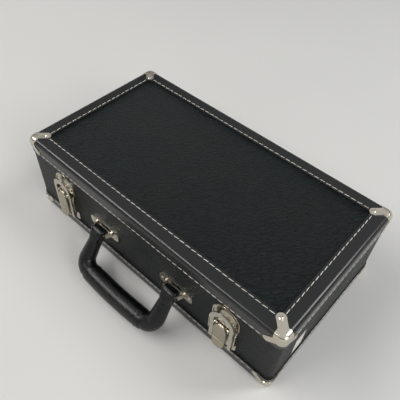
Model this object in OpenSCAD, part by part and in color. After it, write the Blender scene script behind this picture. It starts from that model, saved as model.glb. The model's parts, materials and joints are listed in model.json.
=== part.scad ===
// Miniature carry case: a covered wooden box with a hinged lid, nickel
// corners, two draw latches, a folding handle and foam for figures inside.
// X runs along the length, the latches face -Y, and Z is up. The origin is
// the middle of the outline that the case and its lowered handle cover, on
// the surface that the case stands on.

/* [Case] */
// Outside length of the case
case_l = 330; // [310:1:420]
// Outside depth of the case, front to back
case_w = 177; // [150:1:230]
// Outside height of the closed case
case_h = 98; // [88:1:130]
// Height of the lid, from the seam to its top
lid_h = 40; // [33:1:46]
// Radius of the four upright corners
corner_r = 7; // [6.5:0.1:10]
// Radius of the top and bottom edges
edge_r = 4.4; // [3:0.1:5.5]

/* [Boards and covering] */
// Thickness of the wall boards
wall_t = 6; // [4:0.5:9]
// Thickness of the top and bottom boards
panel_t = 4; // [3.5:0.5:6]
// Thickness of the grained covering
covering_t = 0.7; // [0.4:0.1:1.2]
// Thickness of the stitched edge binding
binding_t = 0.9; // [0.6:0.1:1.4]
// Width of the binding on each face that it covers
binding_w = 16.5; // [14.5:0.5:17.5]
// Clearance between two layers that are glued together
layer_gap = 0.05; // [0.02:0.01:0.1]
// Gap between the rims of the closed lid and the base
seam_gap = 0.4; // [0.3:0.1:0.8]

/* [Corners] */
// Thickness of the corner metal
cap_t = 0.8; // [0.6:0.1:1.2]
// Radius of the ball at the corner
ball_r = 8.4; // [7.5:0.1:10]
// Width of the long strap on the top or bottom
strap_w = 8.6; // [7:0.1:10]
// Reach of the long strap from the corner, along the diagonal
strap_reach = 25; // [23:0.5:26]
// Width of the two short straps on the sides
ear_w = 6.4; // [5:0.1:7]
// Distance of a short strap's hole from the upright edge
ear_x = 15.6; // [13:0.1:18]
// Distance of a short strap's hole from the top or bottom
ear_z = 12.3; // [10:0.1:13]

/* [Fasteners] */
// Head diameter of a rivet
rivet_d = 4.4; // [3.6:0.1:5]
// Head height of a rivet
rivet_h = 0.8; // [0.5:0.1:1]
// Shank diameter of rivets and tacks
shank_d = 2.2; // [1.8:0.1:2.6]
// How far a shank goes into a wall board
shank_bite = 2.6; // [2:0.1:3]
// Clearance around a shank
shank_gap = 0.1; // [0.05:0.05:0.2]

/* [Latches] */
// Distance of each latch from the middle of the case
latch_x = 110; // [90:1:120]
// Width of the latch base and of the catch plate
latch_w = 30; // [28:0.5:34]
// Thickness of the latch sheet metal
sheet_t = 0.9; // [0.7:0.1:1.1]
// Gap between the latch base plate and the binding below it
base_plate_gap = 2.8; // [1:0.1:4]
// Radius of the barrel at the lever's top
knuckle_r = 3.2; // [3:0.1:3.6]
// Gap between the barrel and the base plate behind it
knuckle_back_gap = 0.5; // [0.4:0.1:0.8]
// Gap between the barrel and the catch hook above it
knuckle_top_gap = 1.2; // [0.8:0.1:1.6]
// Gap between the lever and the ears that hold it
lever_gap = 0.3; // [0.2:0.05:0.5]
// Length of the lever from its pivot to the bend of its tab
lever_l = 22; // [21.5:0.5:24]
// Length of the finger tab below the bend
tab_l = 8.4; // [6:0.1:9]
// Slope of the finger tab away from the lever's face
tab_angle = 18; // [10:1:30]
// Distance between the two pivots of the lever
link_l = 17; // [15:0.5:19]
// Distance of the hasp pivot from the covering
link_out = 3.6; // [3.4:0.1:3.8]
// Diameter of the latch pins
latch_pin_d = 2.2; // [2:0.1:2.3]
// Running clearance around a pin
pin_gap = 0.05; // [0.02:0.01:0.1]
// Gap between the hasp and the cheeks of the latch base
cheek_gap = 1.3; // [0.5:0.1:2]
// Gap between the hasp's frame and the ears inside it
ear_gap = 0.8; // [0.5:0.1:1.2]
// Width of the hasp's frame
hasp_band = 4; // [3.4:0.1:4.8]
// Distance of the hasp's frame from the covering
hasp_out = 4.8; // [4.7:0.1:5.2]
// Thickness of the hasp's frame
hasp_t = 1.2; // [0.9:0.1:1.5]
// Gap between the catch plate and the binding above it
catch_gap = 1.7; // [0.8:0.1:3]
// Gap between the catch hook and the back of the hasp
hook_gap = 0.4; // [0.3:0.1:0.6]

/* [Handle] */
// Distance of each handle bracket from the middle of the case
bracket_x = 50.6; // [46:0.2:56]
// Depth of the handle's pivot below the seam
bracket_drop = 13.5; // [11:0.5:15]
// Length of a bracket plate
bracket_l = 42; // [38:0.5:44]
// Height of a bracket plate
bracket_h = 12; // [10:0.5:14]
// Thickness of a bracket plate
bracket_t = 1; // [0.8:0.1:1.2]
// Distance of the handle's pivot from the covering
bar_out = 8; // [7.8:0.1:9]
// Diameter of the bracket bar that the handle turns on
bar_d = 4; // [3.6:0.1:4.4]
// Inside width of the bracket between its legs
bar_l = 16.4; // [16:0.1:18]
// Distance from the pivot to the middle of the grip
handle_reach = 42.5; // [40:0.5:44]
// Radius of the grip
grip_r = 10.4; // [9.6:0.1:10.8]
// Radius of the arms beside the brackets
neck_r = 7.1; // [6.7:0.1:7.6]
// Radius of the elbows
arm_r = 8.2; // [7.6:0.1:8.8]
// Radius of the bend at each elbow, at the middle of the bar
elbow_r = 12.6; // [12.2:0.1:14]
// Angle that each elbow turns through
elbow_turn = 86; // [80:0.5:86.5]
// Gap between the lowered handle and what it rests on
handle_rest = 0.6; // [0.4:0.1:2]
// Radius of the steel core inside the handle
core_r = 2.6; // [2:0.1:3]
// Clearance between the core and the cover
core_gap = 0.1; // [0.05:0.05:0.2]

/* [Hinges] */
// Distance of each hinge from the middle of the case
hinge_x = 109; // [80:1:120]
// Width of a hinge
hinge_w = 32; // [28:1:40]
// Height of each hinge leaf from the seam
leaf_h = 17; // [15:0.5:20]
// Thickness of a hinge leaf
leaf_t = 1; // [0.8:0.1:1.2]
// Outside radius of the hinge knuckles
hinge_r = 2.6; // [2.4:0.1:3]
// Gap between the hinge knuckles and the covering
hinge_gap = 0.6; // [0.5:0.1:1]
// Diameter of the hinge pins
hinge_pin_d = 2.4; // [2:0.1:2.6]
// Gap between two knuckles
knuckle_gap = 0.2; // [0.15:0.05:0.4]

/* [Foam] */
// Clearance between foam and the boards
foam_gap = 0.3; // [0.2:0.1:1]
// Thickness of the foam pad on the floor
pad_t = 10; // [6:0.5:14]
// Gap between the foam in the lid and the lid's rim
lid_foam_gap = 2.6; // [1:0.1:6]
// Depth of the foam tray's rim below the seam
tray_drop = 1; // [0.8:0.1:6]
// Slots along the case
slots_x = 7; // [4:1:7]
// Slots across the case
slots_y = 2; // [1:1:2]
// Thickness of the foam between two slots
divider_t = 7; // [5:0.5:9]

/* [Label] */
// Width of the blank paper label
label_w = 15; // [10:1:25]
// Height of the blank paper label
label_h = 25; // [15:1:27]
// Thickness of the label
label_t = 0.2; // [0.1:0.1:0.4]
// Distance of the label's middle from the middle of the side
label_y = -49.5; // [-52:0.5:52]

/* [Hidden] */
$fn = 48;

// A length that is surely longer than the case is in any direction
far = 2 * (case_l + case_w + case_h);
// A small overrun that keeps a cut clear of the surface that it opens
over = 1;

seam_z = case_h - lid_h;
base_top = seam_z - seam_gap / 2;
lid_bottom = seam_z + seam_gap / 2;

// Insets of the layers from the outside of the binding
covering_in = binding_t + layer_gap;
board_in = covering_in + covering_t + layer_gap;
cover_y = case_w / 2 - covering_in;
cover_x = case_l / 2 - covering_in;
inside_x = case_l / 2 - board_in - wall_t;
inside_y = case_w / 2 - board_in - wall_t;
floor_z = board_in + panel_t;
ceiling_z = case_h - board_in - panel_t;

// The lowered handle stops on the surface, or on the front of a high case
bracket_z = seam_z - bracket_drop;
floor_stop = asin(min(1, (bracket_z - grip_r - handle_rest) / handle_reach));
front_stop = acos((grip_r + binding_t + handle_rest - bar_out) / handle_reach);
handle_droop = min(floor_stop, front_stop);

// Reach of the hinge knuckles and of the lowered handle from the covering
hinge_out = hinge_r + hinge_gap;
back_out = hinge_out + hinge_r;
front_out = bar_out + handle_reach * cos(handle_droop) + grip_r;

// Moves a sub-part, drawn with the case's middle at zero, to the origin
module placed() {
    translate([0, (front_out - back_out) / 2, 0]) children();
}

// Height of a spherical rivet head's ball for its width and height
function cap_ball(d, h) = (d * d / 4 + h * h) / (2 * h);

// ---- the rounded block that every layer of the case is cut from ----

// Half profile of the block at one side, rounded at its top and bottom
module side_profile(r_plan, r_edge, h) {
    square([r_plan - r_edge, h]);
    translate([0, r_edge]) square([r_plan, h - 2 * r_edge]);
    intersection() {
        for (z = [r_edge, h - r_edge])
            translate([r_plan - r_edge, z]) circle(r = r_edge);
        square([r_plan, h]);
    }
}

// The outside of the case, drawn in by inset on every side
module block(inset) {
    r_plan = corner_r - inset;
    r_edge = edge_r - inset;
    h = case_h - 2 * inset;
    lx = case_l / 2 - corner_r;
    ly = case_w / 2 - corner_r;
    translate([0, 0, inset]) {
        translate([-lx, -ly, 0]) cube([2 * lx, 2 * ly, h]);
        for (s = [0, 1]) mirror([0, s, 0]) translate([-lx, ly, 0])
            rotate([90, 0, 90]) linear_extrude(2 * lx) side_profile(r_plan, r_edge, h);
        for (s = [0, 1]) mirror([s, 0, 0]) translate([lx, ly, 0])
            rotate([90, 0, 0]) linear_extrude(2 * ly) side_profile(r_plan, r_edge, h);
        for (sx = [0, 1], sy = [0, 1]) mirror([sx, 0, 0]) mirror([0, sy, 0])
            translate([lx, ly, 0])
                rotate_extrude(angle = 90) side_profile(r_plan, r_edge, h);
    }
}

// Everything above or below a height
module above(z) {
    translate([-far / 2, -far / 2, z]) cube([far, far, far]);
}

module below(z) {
    translate([-far / 2, -far / 2, z - far]) cube([far, far, far]);
}

// The half of a drawing that belongs to the lid, or to the base
module half(is_lid) {
    intersection() {
        children();
        if (is_lid) above(lid_bottom); else below(base_top);
    }
}

// Turns something drawn at the lid's top into its twin at the bottom, which
// is let in by a depth
module to_bottom(is_lid, let_in = 0) {
    if (is_lid) children();
    else translate([0, 0, case_h + let_in]) mirror([0, 0, 1]) children();
}

// ---- places of the fasteners; each child points out of its face ----

// One corner, drawn at the +X +Y corner and mirrored to the one asked for
module at_corner(sx, sy) {
    mirror([sx < 0 ? 1 : 0, 0, 0]) mirror([0, sy < 0 ? 1 : 0, 0])
        translate([case_l / 2, case_w / 2, 0]) children();
}

tack_in = (strap_reach - strap_w / 2) / sqrt(2);

// Tacks of the long straps, on the outside of the top
module strap_places() {
    for (sx = [-1, 1], sy = [-1, 1]) at_corner(sx, sy)
        translate([-tack_in, -tack_in, case_h + cap_t]) children();
}

// Tacks of the short straps, on the four sides
module ear_places() {
    for (sx = [-1, 1], sy = [-1, 1]) at_corner(sx, sy) {
        translate([-ear_x, cap_t, case_h - ear_z]) rotate([-90, 0, 0]) children();
        translate([cap_t, -ear_x, case_h - ear_z]) rotate([0, 90, 0]) children();
    }
}

// A point on the front, measured out from the covering
module on_front(x, z, out) {
    translate([x, -cover_y - out, z]) rotate([90, 0, 0]) children();
}

module on_back(x, z, out) {
    translate([x, cover_y + out, z]) rotate([-90, 0, 0]) children();
}

catch_h = case_h - binding_w - catch_gap - lid_bottom;
catch_z = lid_bottom + catch_h - latch_w / 2;
plate_bottom = binding_w + base_plate_gap;
base_rivet_z = [base_top - 11, plate_bottom + 7];

module catch_rivet_places() {
    for (sx = [-1, 1], u = [-9.6, 9.6])
        on_front(sx * latch_x + u, lid_bottom + 4.4, sheet_t) children();
}

module latch_rivet_places() {
    for (sx = [-1, 1]) {
        for (u = [-4.5, 4.5]) on_front(sx * latch_x + u, base_rivet_z[0], sheet_t)
            children();
        on_front(sx * latch_x, base_rivet_z[1], sheet_t) children();
    }
}

bracket_rivet_u = bracket_l / 2 - 4;

module bracket_rivet_places() {
    for (sx = [-1, 1], u = [-bracket_rivet_u, bracket_rivet_u])
        on_front(sx * bracket_x + u, bracket_z, bracket_t) children();
}

hinge_rivet_u = hinge_w / 2 - 5;
hinge_rivet_z = leaf_h - 5.5;

module hinge_rivet_places(is_lid) {
    z = is_lid ? seam_z + hinge_rivet_z : seam_z - hinge_rivet_z;
    for (sx = [-1, 1], u = [-hinge_rivet_u, hinge_rivet_u])
        on_back(sx * hinge_x + u, z, leaf_t) children();
}

// ---- fasteners ----

// Depth of a shank below the face of a strap of metal on the binding
function strap_shank() = cap_t + board_in + shank_bite;
// Depth of a shank below the face of a plate on the covering
function plate_shank(t) = t + covering_t + layer_gap + shank_bite;

// A domed rivet or tack whose head sits on z = 0
module domed(d, h, len) {
    r = cap_ball(d, h);
    intersection() {
        translate([0, 0, h - r]) sphere(r = r);
        cylinder(d = d, h = h);
    }
    translate([0, 0, -len]) cylinder(d = shank_d, h = len);
}

// A tack whose sunk head is level with z = 0
module sunk(d, h, len) {
    translate([0, 0, -h]) cylinder(d1 = shank_d, d2 = d, h = h);
    translate([0, 0, -len]) cylinder(d = shank_d, h = len - h);
}

// The hole for a shank
module shank_hole(len) {
    translate([0, 0, -len - shank_gap])
        cylinder(d = shank_d + 2 * shank_gap, h = len + shank_gap + over);
}

// The hole for a sunk tack's head
module sunk_hole(d, h) {
    translate([0, 0, -h]) cylinder(d1 = shank_d + 2 * shank_gap,
        d2 = d + 2 * shank_gap, h = h);
}

// Holes of the corner tacks, in the lid or in the base
module corner_holes(is_lid) {
    to_bottom(is_lid, cap_t) {
        strap_places() shank_hole(strap_shank());
        ear_places() shank_hole(strap_shank());
    }
}

// Every hole that goes into the boards and the covering of one half
module board_holes(is_lid) {
    corner_holes(is_lid);
    if (is_lid) catch_rivet_places() shank_hole(plate_shank(sheet_t));
    else {
        latch_rivet_places() shank_hole(plate_shank(sheet_t));
        bracket_rivet_places() shank_hole(plate_shank(bracket_t));
    }
    hinge_rivet_places(is_lid) shank_hole(plate_shank(leaf_t));
}

// ---- boards, covering and binding ----

// One board: a slab of the rounded block, with its holes
module board(is_lid, low, high) {
    difference() {
        intersection() {
            block(board_in);
            translate(low) cube(high - low);
        }
        board_holes(is_lid);
    }
}

// Bottom and top of the wall boards of one half
function wall_z(is_lid) = is_lid ? [lid_bottom, ceiling_z] : [floor_z, base_top];

module long_board(is_lid, side) {
    z = wall_z(is_lid);
    y = side < 0 ? [-case_w / 2, -inside_y] : [inside_y, case_w / 2];
    color("burlywood") placed()
        board(is_lid, [-case_l / 2, y[0], z[0]], [case_l / 2, y[1], z[1]]);
}

module short_board(is_lid, side) {
    z = wall_z(is_lid);
    x = side < 0 ? [-case_l / 2, -inside_x] : [inside_x, case_l / 2];
    color("burlywood") placed()
        board(is_lid, [x[0], -inside_y, z[0]], [x[1], inside_y, z[1]]);
}

module flat_board(is_lid) {
    z = is_lid ? [ceiling_z, case_h] : [0, floor_z];
    color("burlywood") placed()
        board(is_lid, [-case_l / 2, -case_w / 2, z[0]], [case_l / 2, case_w / 2, z[1]]);
}

module covering(is_lid) {
    color("#232323") placed() difference() {
        half(is_lid) block(covering_in);
        block(covering_in + covering_t);
        board_holes(is_lid);
    }
}

module binding(is_lid) {
    color("#1b1b1b") placed() difference() {
        half(is_lid) block(0);
        block(binding_t);
        to_bottom(is_lid) {
            below(case_h - binding_w);
            translate([binding_w - case_l / 2, binding_w - case_w / 2, 0])
                cube([case_l - 2 * binding_w, case_w - 2 * binding_w, case_h + over]);
        }
        corner_holes(is_lid);
        if (!is_lid) cap_recess();
    }
}

// ---- corner caps ----

// How much the round end of a strap stands out past its sides
eye_extra = 0.2;

// The three straps and the ball that a cap's sheet is cut to, at the corner
module cap_zone(margin) {
    translate([-ball_r / 2, -ball_r / 2, case_h - 3]) sphere(r = ball_r + margin);
    // long strap, on the diagonal of the top
    rotate(225) translate([0, -strap_w / 2 - margin, case_h - edge_r])
        cube([strap_reach - strap_w / 2, strap_w + 2 * margin, edge_r + 2 * cap_t]);
    translate([-tack_in, -tack_in, case_h - edge_r])
        cylinder(r = strap_w / 2 + eye_extra + margin, h = edge_r + 2 * cap_t);
    // short straps, on the diagonals of the two sides
    ear_strap(margin);
    mirror([1, -1, 0]) ear_strap(margin);
}

// The short strap on the +Y side
module ear_strap(margin) {
    slope = atan2(ear_z, ear_x);
    reach = norm([ear_x, ear_z]);
    deep = corner_r;
    translate([0, cap_t + over, case_h]) rotate([90, 0, 0]) {
        rotate(180 + slope) translate([0, -ear_w / 2 - margin, 0])
            cube([reach, ear_w + 2 * margin, deep]);
        translate([-ear_x, -ear_z, 0])
            cylinder(r = ear_w / 2 + eye_extra + margin, h = deep);
    }
}

// One cap of bent sheet, on the lid or let into the underside of the base
module corner_cap(is_lid, sx, sy) {
    color("#c9c4b8") placed() difference() {
        to_bottom(is_lid, cap_t) difference() {
            intersection() {
                block(-cap_t);
                at_corner(sx, sy) cap_zone(0);
            }
            block(-layer_gap);
            if (!is_lid) strap_places() sunk_hole(rivet_d, cap_t);
        }
        corner_holes(is_lid);
    }
}

// Room in the base binding for the undersides of the four caps
module cap_recess() {
    intersection() {
        to_bottom(false, cap_t) for (sx = [-1, 1], sy = [-1, 1])
            at_corner(sx, sy) cap_zone(2 * layer_gap);
        difference() {
            below(edge_r + cap_t);
            translate([0, 0, binding_t]) block(layer_gap);
        }
    }
}

module corner_tacks(is_lid) {
    color("#d6d2c8") placed() to_bottom(is_lid, cap_t) {
        if (is_lid) strap_places() domed(rivet_d, rivet_h, strap_shank());
        else strap_places() sunk(rivet_d, cap_t, strap_shank());
        ear_places() domed(rivet_d - 1, rivet_h, strap_shank());
    }
}

// ---- foam ----

tray_z = floor_z + pad_t;
tray_h = base_top - tray_drop - tray_z;
tray_lx = 2 * (inside_x - foam_gap);
tray_ly = 2 * (inside_y - foam_gap);
rim_t = divider_t;
slot_lx = (tray_lx - 2 * rim_t - (slots_x - 1) * divider_t) / slots_x;
slot_ly = (tray_ly - 2 * rim_t - (slots_y - 1) * divider_t) / slots_y;

module foam_floor_pad() {
    color("#3a3a3c") placed() translate([-tray_lx / 2, -tray_ly / 2, floor_z])
        cube([tray_lx, tray_ly, pad_t]);
}

// Four strips glued round the edge of the tray
module foam_tray_rim() {
    color("#4a4a4d") placed() translate([0, 0, tray_z]) {
        for (s = [0, 1]) mirror([0, s, 0])
            translate([-tray_lx / 2, tray_ly / 2 - rim_t, 0])
                cube([tray_lx, rim_t, tray_h]);
        for (s = [0, 1]) mirror([s, 0, 0])
            translate([tray_lx / 2 - rim_t, rim_t - tray_ly / 2, 0])
                cube([rim_t, tray_ly - 2 * rim_t, tray_h]);
    }
}

// The strips between the slots
module foam_dividers() {
    x0 = rim_t - tray_lx / 2;
    y0 = rim_t - tray_ly / 2;
    color("#4a4a4d") placed() translate([0, 0, tray_z]) {
        if (slots_y > 1) for (j = [1 : slots_y - 1])
            translate([x0, y0 + j * slot_ly + (j - 1) * divider_t, 0])
                cube([tray_lx - 2 * rim_t, divider_t, tray_h]);
        for (i = [1 : slots_x - 1], j = [0 : slots_y - 1])
            translate([x0 + i * slot_lx + (i - 1) * divider_t,
                    y0 + j * (slot_ly + divider_t), 0])
                cube([divider_t, slot_ly, tray_h]);
    }
}

module lid_foam() {
    z = lid_bottom + lid_foam_gap;
    color("#3a3a3c") placed() translate([-tray_lx / 2, -tray_ly / 2, z])
        cube([tray_lx, tray_ly, ceiling_z - z]);
}

module blank_label() {
    z = (binding_w + base_top) / 2;
    color("#e8e6e0") placed() translate([cover_x, label_y - label_w / 2, z - label_h / 2])
        cube([label_t, label_w, label_h]);
}

// ---- latches; drawn at x = 0, with out measured from the covering ----

// Widths from the cheeks in: cheek, hasp, ear and lever
hasp_w = latch_w - 2 * (sheet_t + cheek_gap);
window_r = hasp_w / 2 - hasp_band;
ear_in = window_r - ear_gap - sheet_t;
lever_w = 2 * (ear_in - lever_gap);

// Heights from the seam down, and distances from the covering
hook_low = lid_bottom + 1;
window_arch_z = hook_low + 0.4;
hasp_arch_z = window_arch_z + 2.4;
pivot_z = hook_low - knuckle_top_gap - knuckle_r;
link_z = pivot_z - link_l;
pivot_out = sheet_t + knuckle_back_gap + knuckle_r;
lever_face = pivot_out + knuckle_r;
bead_r = 0.7;

// Puts a latch piece at its place along the front
module at_latch(side) {
    translate([side * latch_x, 0, 0]) children();
}

// A slice in the X direction of a profile drawn as [out, z]
module slice(x0, x1) {
    translate([x0, -cover_y, 0]) rotate([90, 0, 90]) mirror([1, 0, 0])
        linear_extrude(x1 - x0) children();
}

// The same slice on both sides of the middle
module both_sides(x0, x1) {
    slice(x0, x1) children();
    slice(-x1, -x0) children();
}

// A plate in the plane of the front, whose outline is drawn as [x, z]
module plate(out0, out1) {
    translate([0, -cover_y - out0, 0]) rotate([90, 0, 0])
        linear_extrude(out1 - out0) children();
}

// A pin along X, drawn by its middle
module pin_at(out, z, d, half_l) {
    translate([-half_l, -cover_y - out, z]) rotate([0, 90, 0])
        cylinder(d = d, h = 2 * half_l);
}

// A plate outline with two rounded lower corners
module base_outline(w, z0, z1, r) {
    translate([-w / 2, z0 + r]) square([w, z1 - z0 - r]);
    translate([-w / 2 + r, z0]) square([w - 2 * r, r]);
    for (s = [-1, 1]) translate([s * (w / 2 - r), z0 + r]) circle(r = r);
}

module latch_base(side) {
    cheek_low = plate_bottom + 15.5;
    color("#c9c4b8") placed() at_latch(side) difference() {
        union() {
            plate(0, sheet_t) base_outline(latch_w, plate_bottom, base_top, 4);
            // cheeks that guard the hasp
            both_sides(latch_w / 2 - sheet_t, latch_w / 2)
                polygon([[0, cheek_low - 3], [hasp_out - 1, cheek_low],
                    [hasp_out, cheek_low + 1], [hasp_out, base_top - 2.5],
                    [hasp_out - 1.5, base_top], [0, base_top]]);
            // ears that hold the lever pin
            both_sides(ear_in, ear_in + sheet_t) {
                translate([0, pivot_z - 3]) square([pivot_out, 5.4]);
                translate([pivot_out, pivot_z]) circle(r = 2.4);
                polygon([[0, pivot_z - 6], [pivot_out + 2, pivot_z - 1.2],
                    [0, pivot_z]]);
            }
        }
        pin_at(pivot_out, pivot_z, latch_pin_d, latch_w);
        translate([-side * latch_x, 0, 0])
            latch_rivet_places() shank_hole(plate_shank(sheet_t));
    }
}

module lever_pin(side) {
    color("#d6d2c8") placed() at_latch(side)
        pin_at(pivot_out, pivot_z, latch_pin_d, ear_in + sheet_t);
}

// Side view of the lever's walls
module lever_wall() {
    low = pivot_z - lever_l;
    translate([pivot_out, pivot_z]) circle(r = knuckle_r);
    polygon([[lever_face, pivot_z], [lever_face, low], [lever_face - 2, low],
        [link_out, link_z - 2.4], [link_out - 1.7, link_z - 1.2],
        [link_out - 1.7, link_z + 2], [pivot_out - knuckle_r, pivot_z]]);
}

// Side view of the lever's face: barrel, flat panel, bead and finger tab
module lever_skin() {
    low = pivot_z - lever_l;
    tab_out = tab_l * sin(tab_angle);
    tab_down = tab_l * cos(tab_angle);
    translate([pivot_out, pivot_z]) circle(r = knuckle_r);
    translate([lever_face - sheet_t, low]) square([sheet_t, lever_l]);
    translate([lever_face - 0.3, low]) circle(r = bead_r);
    polygon([[lever_face - sheet_t, low + sheet_t], [lever_face, low],
        [lever_face + tab_out, low - tab_down],
        [lever_face + tab_out - sheet_t, low - tab_down],
        [lever_face - sheet_t, low - 0.6]]);
}

// Front view of the lever: an arched top and a rounded finger tab
module lever_outline() {
    w = lever_w / 2;
    low = pivot_z - lever_l - tab_l;
    top = pivot_z + knuckle_r + 0.1;
    translate([-w, low + w]) square([2 * w, top - low - 2 * w]);
    for (z = [low + w, top - w]) translate([0, z]) circle(r = w);
}

module lever(side) {
    w = lever_w / 2;
    color("#cfcabd") placed() at_latch(side) difference() {
        intersection() {
            union() {
                both_sides(w - sheet_t, w) lever_wall();
                slice(-w, w) lever_skin();
            }
            plate(-over, far / 4) lever_outline();
        }
        pin_at(pivot_out, pivot_z, latch_pin_d + 2 * pin_gap, w + over);
        pin_at(link_out, link_z, latch_pin_d, w + over);
    }
}

module hasp_pin(side) {
    color("#d6d2c8") placed() at_latch(side)
        pin_at(link_out, link_z, latch_pin_d, hasp_w / 2);
}

// Outline of the hasp's arch, or of its window
module arch(r, z0, z1) {
    translate([-r, z0]) square([2 * r, z1 - z0]);
    translate([0, z1]) circle(r = r);
}

module hasp(side) {
    w = hasp_w / 2;
    low = link_z - 13;
    color("#cfcabd") placed() at_latch(side) difference() {
        union() {
            plate(hasp_out, hasp_out + hasp_t) difference() {
                arch(w, low, hasp_arch_z);
                arch(window_r, low - over, window_arch_z);
            }
            both_sides(w - sheet_t, w)
                polygon([[hasp_out + hasp_t / 2, low], [hasp_out - 1, low],
                    [link_out - 2, link_z - 4], [link_out - 2, link_z + 5],
                    [hasp_out, link_z + 12], [hasp_out + hasp_t / 2, link_z + 12]]);
        }
        pin_at(link_out, link_z, latch_pin_d + 2 * pin_gap, latch_w);
        // the foot of each leg is rounded off
        for (s = [-1, 1]) plate(0, 2 * hasp_out) difference() {
            translate([s * (w - hasp_band / 2) - hasp_band, low - over])
                square([2 * hasp_band, hasp_band / 2 + over]);
            translate([s * (w - hasp_band / 2), low + hasp_band / 2])
                circle(d = hasp_band);
        }
    }
}

// Outline of the catch plate, an arch that stands on the lid's rim
module catch_outline(inset) {
    r = latch_w / 2 - inset;
    intersection() {
        union() {
            translate([-r, lid_bottom]) square([2 * r, catch_z - lid_bottom]);
            translate([0, catch_z]) circle(r = r);
        }
        translate([-r, lid_bottom + inset]) square([2 * r, catch_h]);
    }
}

module catch_plate(side) {
    hook_out = hasp_out - hook_gap;
    hook_r = window_r - 0.8;
    hook_top = hook_low + 4.6;
    color("#c9c4b8") placed() at_latch(side) difference() {
        union() {
            plate(0, sheet_t) catch_outline(0);
            plate(0, sheet_t + 0.6) difference() {
                catch_outline(0.5);
                catch_outline(1.5);
            }
            // the hook, a low arch that the hasp closes over
            intersection() {
                translate([0, -cover_y, hook_top - hook_r]) rotate([90, 0, 0]) {
                    cylinder(r = hook_r, h = hook_out - 1.2);
                    translate([0, 0, hook_out - 1.2])
                        cylinder(r1 = hook_r, r2 = hook_r - 1.2, h = 1.2);
                }
                above(hook_low);
            }
        }
        translate([-side * latch_x, 0, 0])
            catch_rivet_places() shank_hole(plate_shank(sheet_t));
    }
}

module catch_rivets() {
    color("#d6d2c8") placed() catch_rivet_places()
        domed(rivet_d - 0.6, rivet_h, plate_shank(sheet_t));
}

module latch_base_rivets() {
    color("#d6d2c8") placed() latch_rivet_places()
        domed(rivet_d - 0.6, rivet_h, plate_shank(sheet_t));
}

// ---- handle ----

leg_t = 1.4;
leg_h = 6;

// Outline of a bracket plate, with rounded corners
module bracket_outline() {
    r = 4;
    x = bracket_l / 2;
    z = bracket_h / 2;
    translate([-x + r, bracket_z - z]) square([2 * (x - r), 2 * z]);
    translate([-x, bracket_z - z + r]) square([2 * x, 2 * (z - r)]);
    for (sx = [-1, 1], sz = [-1, 1])
        translate([sx * (x - r), bracket_z + sz * (z - r)]) circle(r = r);
}

module handle_bracket(side) {
    b = bar_l / 2;
    splay = 3;
    color("#c9c4b8") placed() translate([side * bracket_x, 0, 0]) difference() {
        union() {
            plate(0, bracket_t) bracket_outline();
            // two splayed legs
            for (s = [0, 1]) mirror([s, 0, 0])
                translate([0, -cover_y, bracket_z - leg_h / 2])
                    linear_extrude(leg_h) polygon([[b + splay, 0],
                        [b, -bar_out], [b, -bar_out - bar_d / 2],
                        [b + leg_t, -bar_out - bar_d / 2],
                        [b + leg_t, -bar_out], [b + splay + leg_t, 0]]);
            pin_at(bar_out, bracket_z, bar_d, b + leg_t / 2);
        }
        translate([-side * bracket_x, 0, 0])
            bracket_rivet_places() shank_hole(plate_shank(bracket_t));
    }
}

module handle_bracket_rivets() {
    color("#d6d2c8") placed() bracket_rivet_places()
        domed(rivet_d - 0.8, rivet_h, plate_shank(bracket_t));
}

bow = 90 - elbow_turn;
elbow_x = bracket_x - elbow_r;
grip_end_x = elbow_x + elbow_r * cos(elbow_turn);
bow_r = grip_end_x / sin(bow);
grip_end_s = handle_reach - bow_r * (1 - cos(bow));
arm_end = grip_end_s - elbow_r * sin(elbow_turn);
shoulder_l = 9;
shoulder_step = 0.4;
lap = 1;
grip_turn = 2 * asin((shoulder_l - lap) / (2 * bow_r));
neck_start = 4;
arm_start = 9.5;
eye_r = 4.3;
eye_l = bar_l - 4;
sleeve_r = 6.3;
sleeve_l = bar_l - 1;

// Lays the handle from its flat drawing, [x, reach], to its resting droop
module handle_pose() {
    translate([0, -cover_y - bar_out, bracket_z]) rotate([handle_droop, 0, 0])
        mirror([0, 1, 0]) children();
}

// A bar along the handle's centre line, from start on one arm to the other
module handle_bar(r_neck, r_arm, r_grip, start) {
    for (s = [0, 1]) mirror([s, 0, 0]) {
        translate([bracket_x, start, 0]) rotate([-90, 0, 0])
            cylinder(r1 = r_neck, r2 = r_arm, h = arm_end - start);
        translate([elbow_x, arm_end, 0]) rotate_extrude(angle = elbow_turn + lap)
            translate([elbow_r, 0]) circle(r = r_arm);
        // the shoulder between the elbow and the grip
        translate([grip_end_x, grip_end_s, 0]) rotate(elbow_turn) rotate([-90, 0, 0])
            cylinder(r1 = r_arm + shoulder_step, r2 = r_grip - shoulder_step,
                h = shoulder_l);
    }
    translate([0, handle_reach - bow_r, 0]) rotate(90 - bow + grip_turn)
        rotate_extrude(angle = 2 * (bow - grip_turn))
            translate([bow_r, 0]) circle(r = r_grip);
}

// A round barrel along X at each pivot
module pivot_barrel(r, l) {
    for (s = [-1, 1]) translate([s * bracket_x - l / 2, 0, 0]) rotate([0, 90, 0])
        cylinder(r = r, h = l);
}

module handle_cover() {
    color("#1d1d1f") placed() handle_pose() difference() {
        union() {
            handle_bar(neck_r, arm_r, grip_r, arm_start);
            for (s = [-1, 1]) translate([s * bracket_x, neck_start, 0])
                rotate([-90, 0, 0])
                    cylinder(r1 = sleeve_r - 0.6, r2 = neck_r, h = arm_start - neck_start);
            pivot_barrel(sleeve_r, sleeve_l);
        }
        pivot_barrel(eye_r + core_gap, bar_l);
        handle_bar(core_r + core_gap, core_r + core_gap, core_r + core_gap, 0);
    }
}

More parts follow.
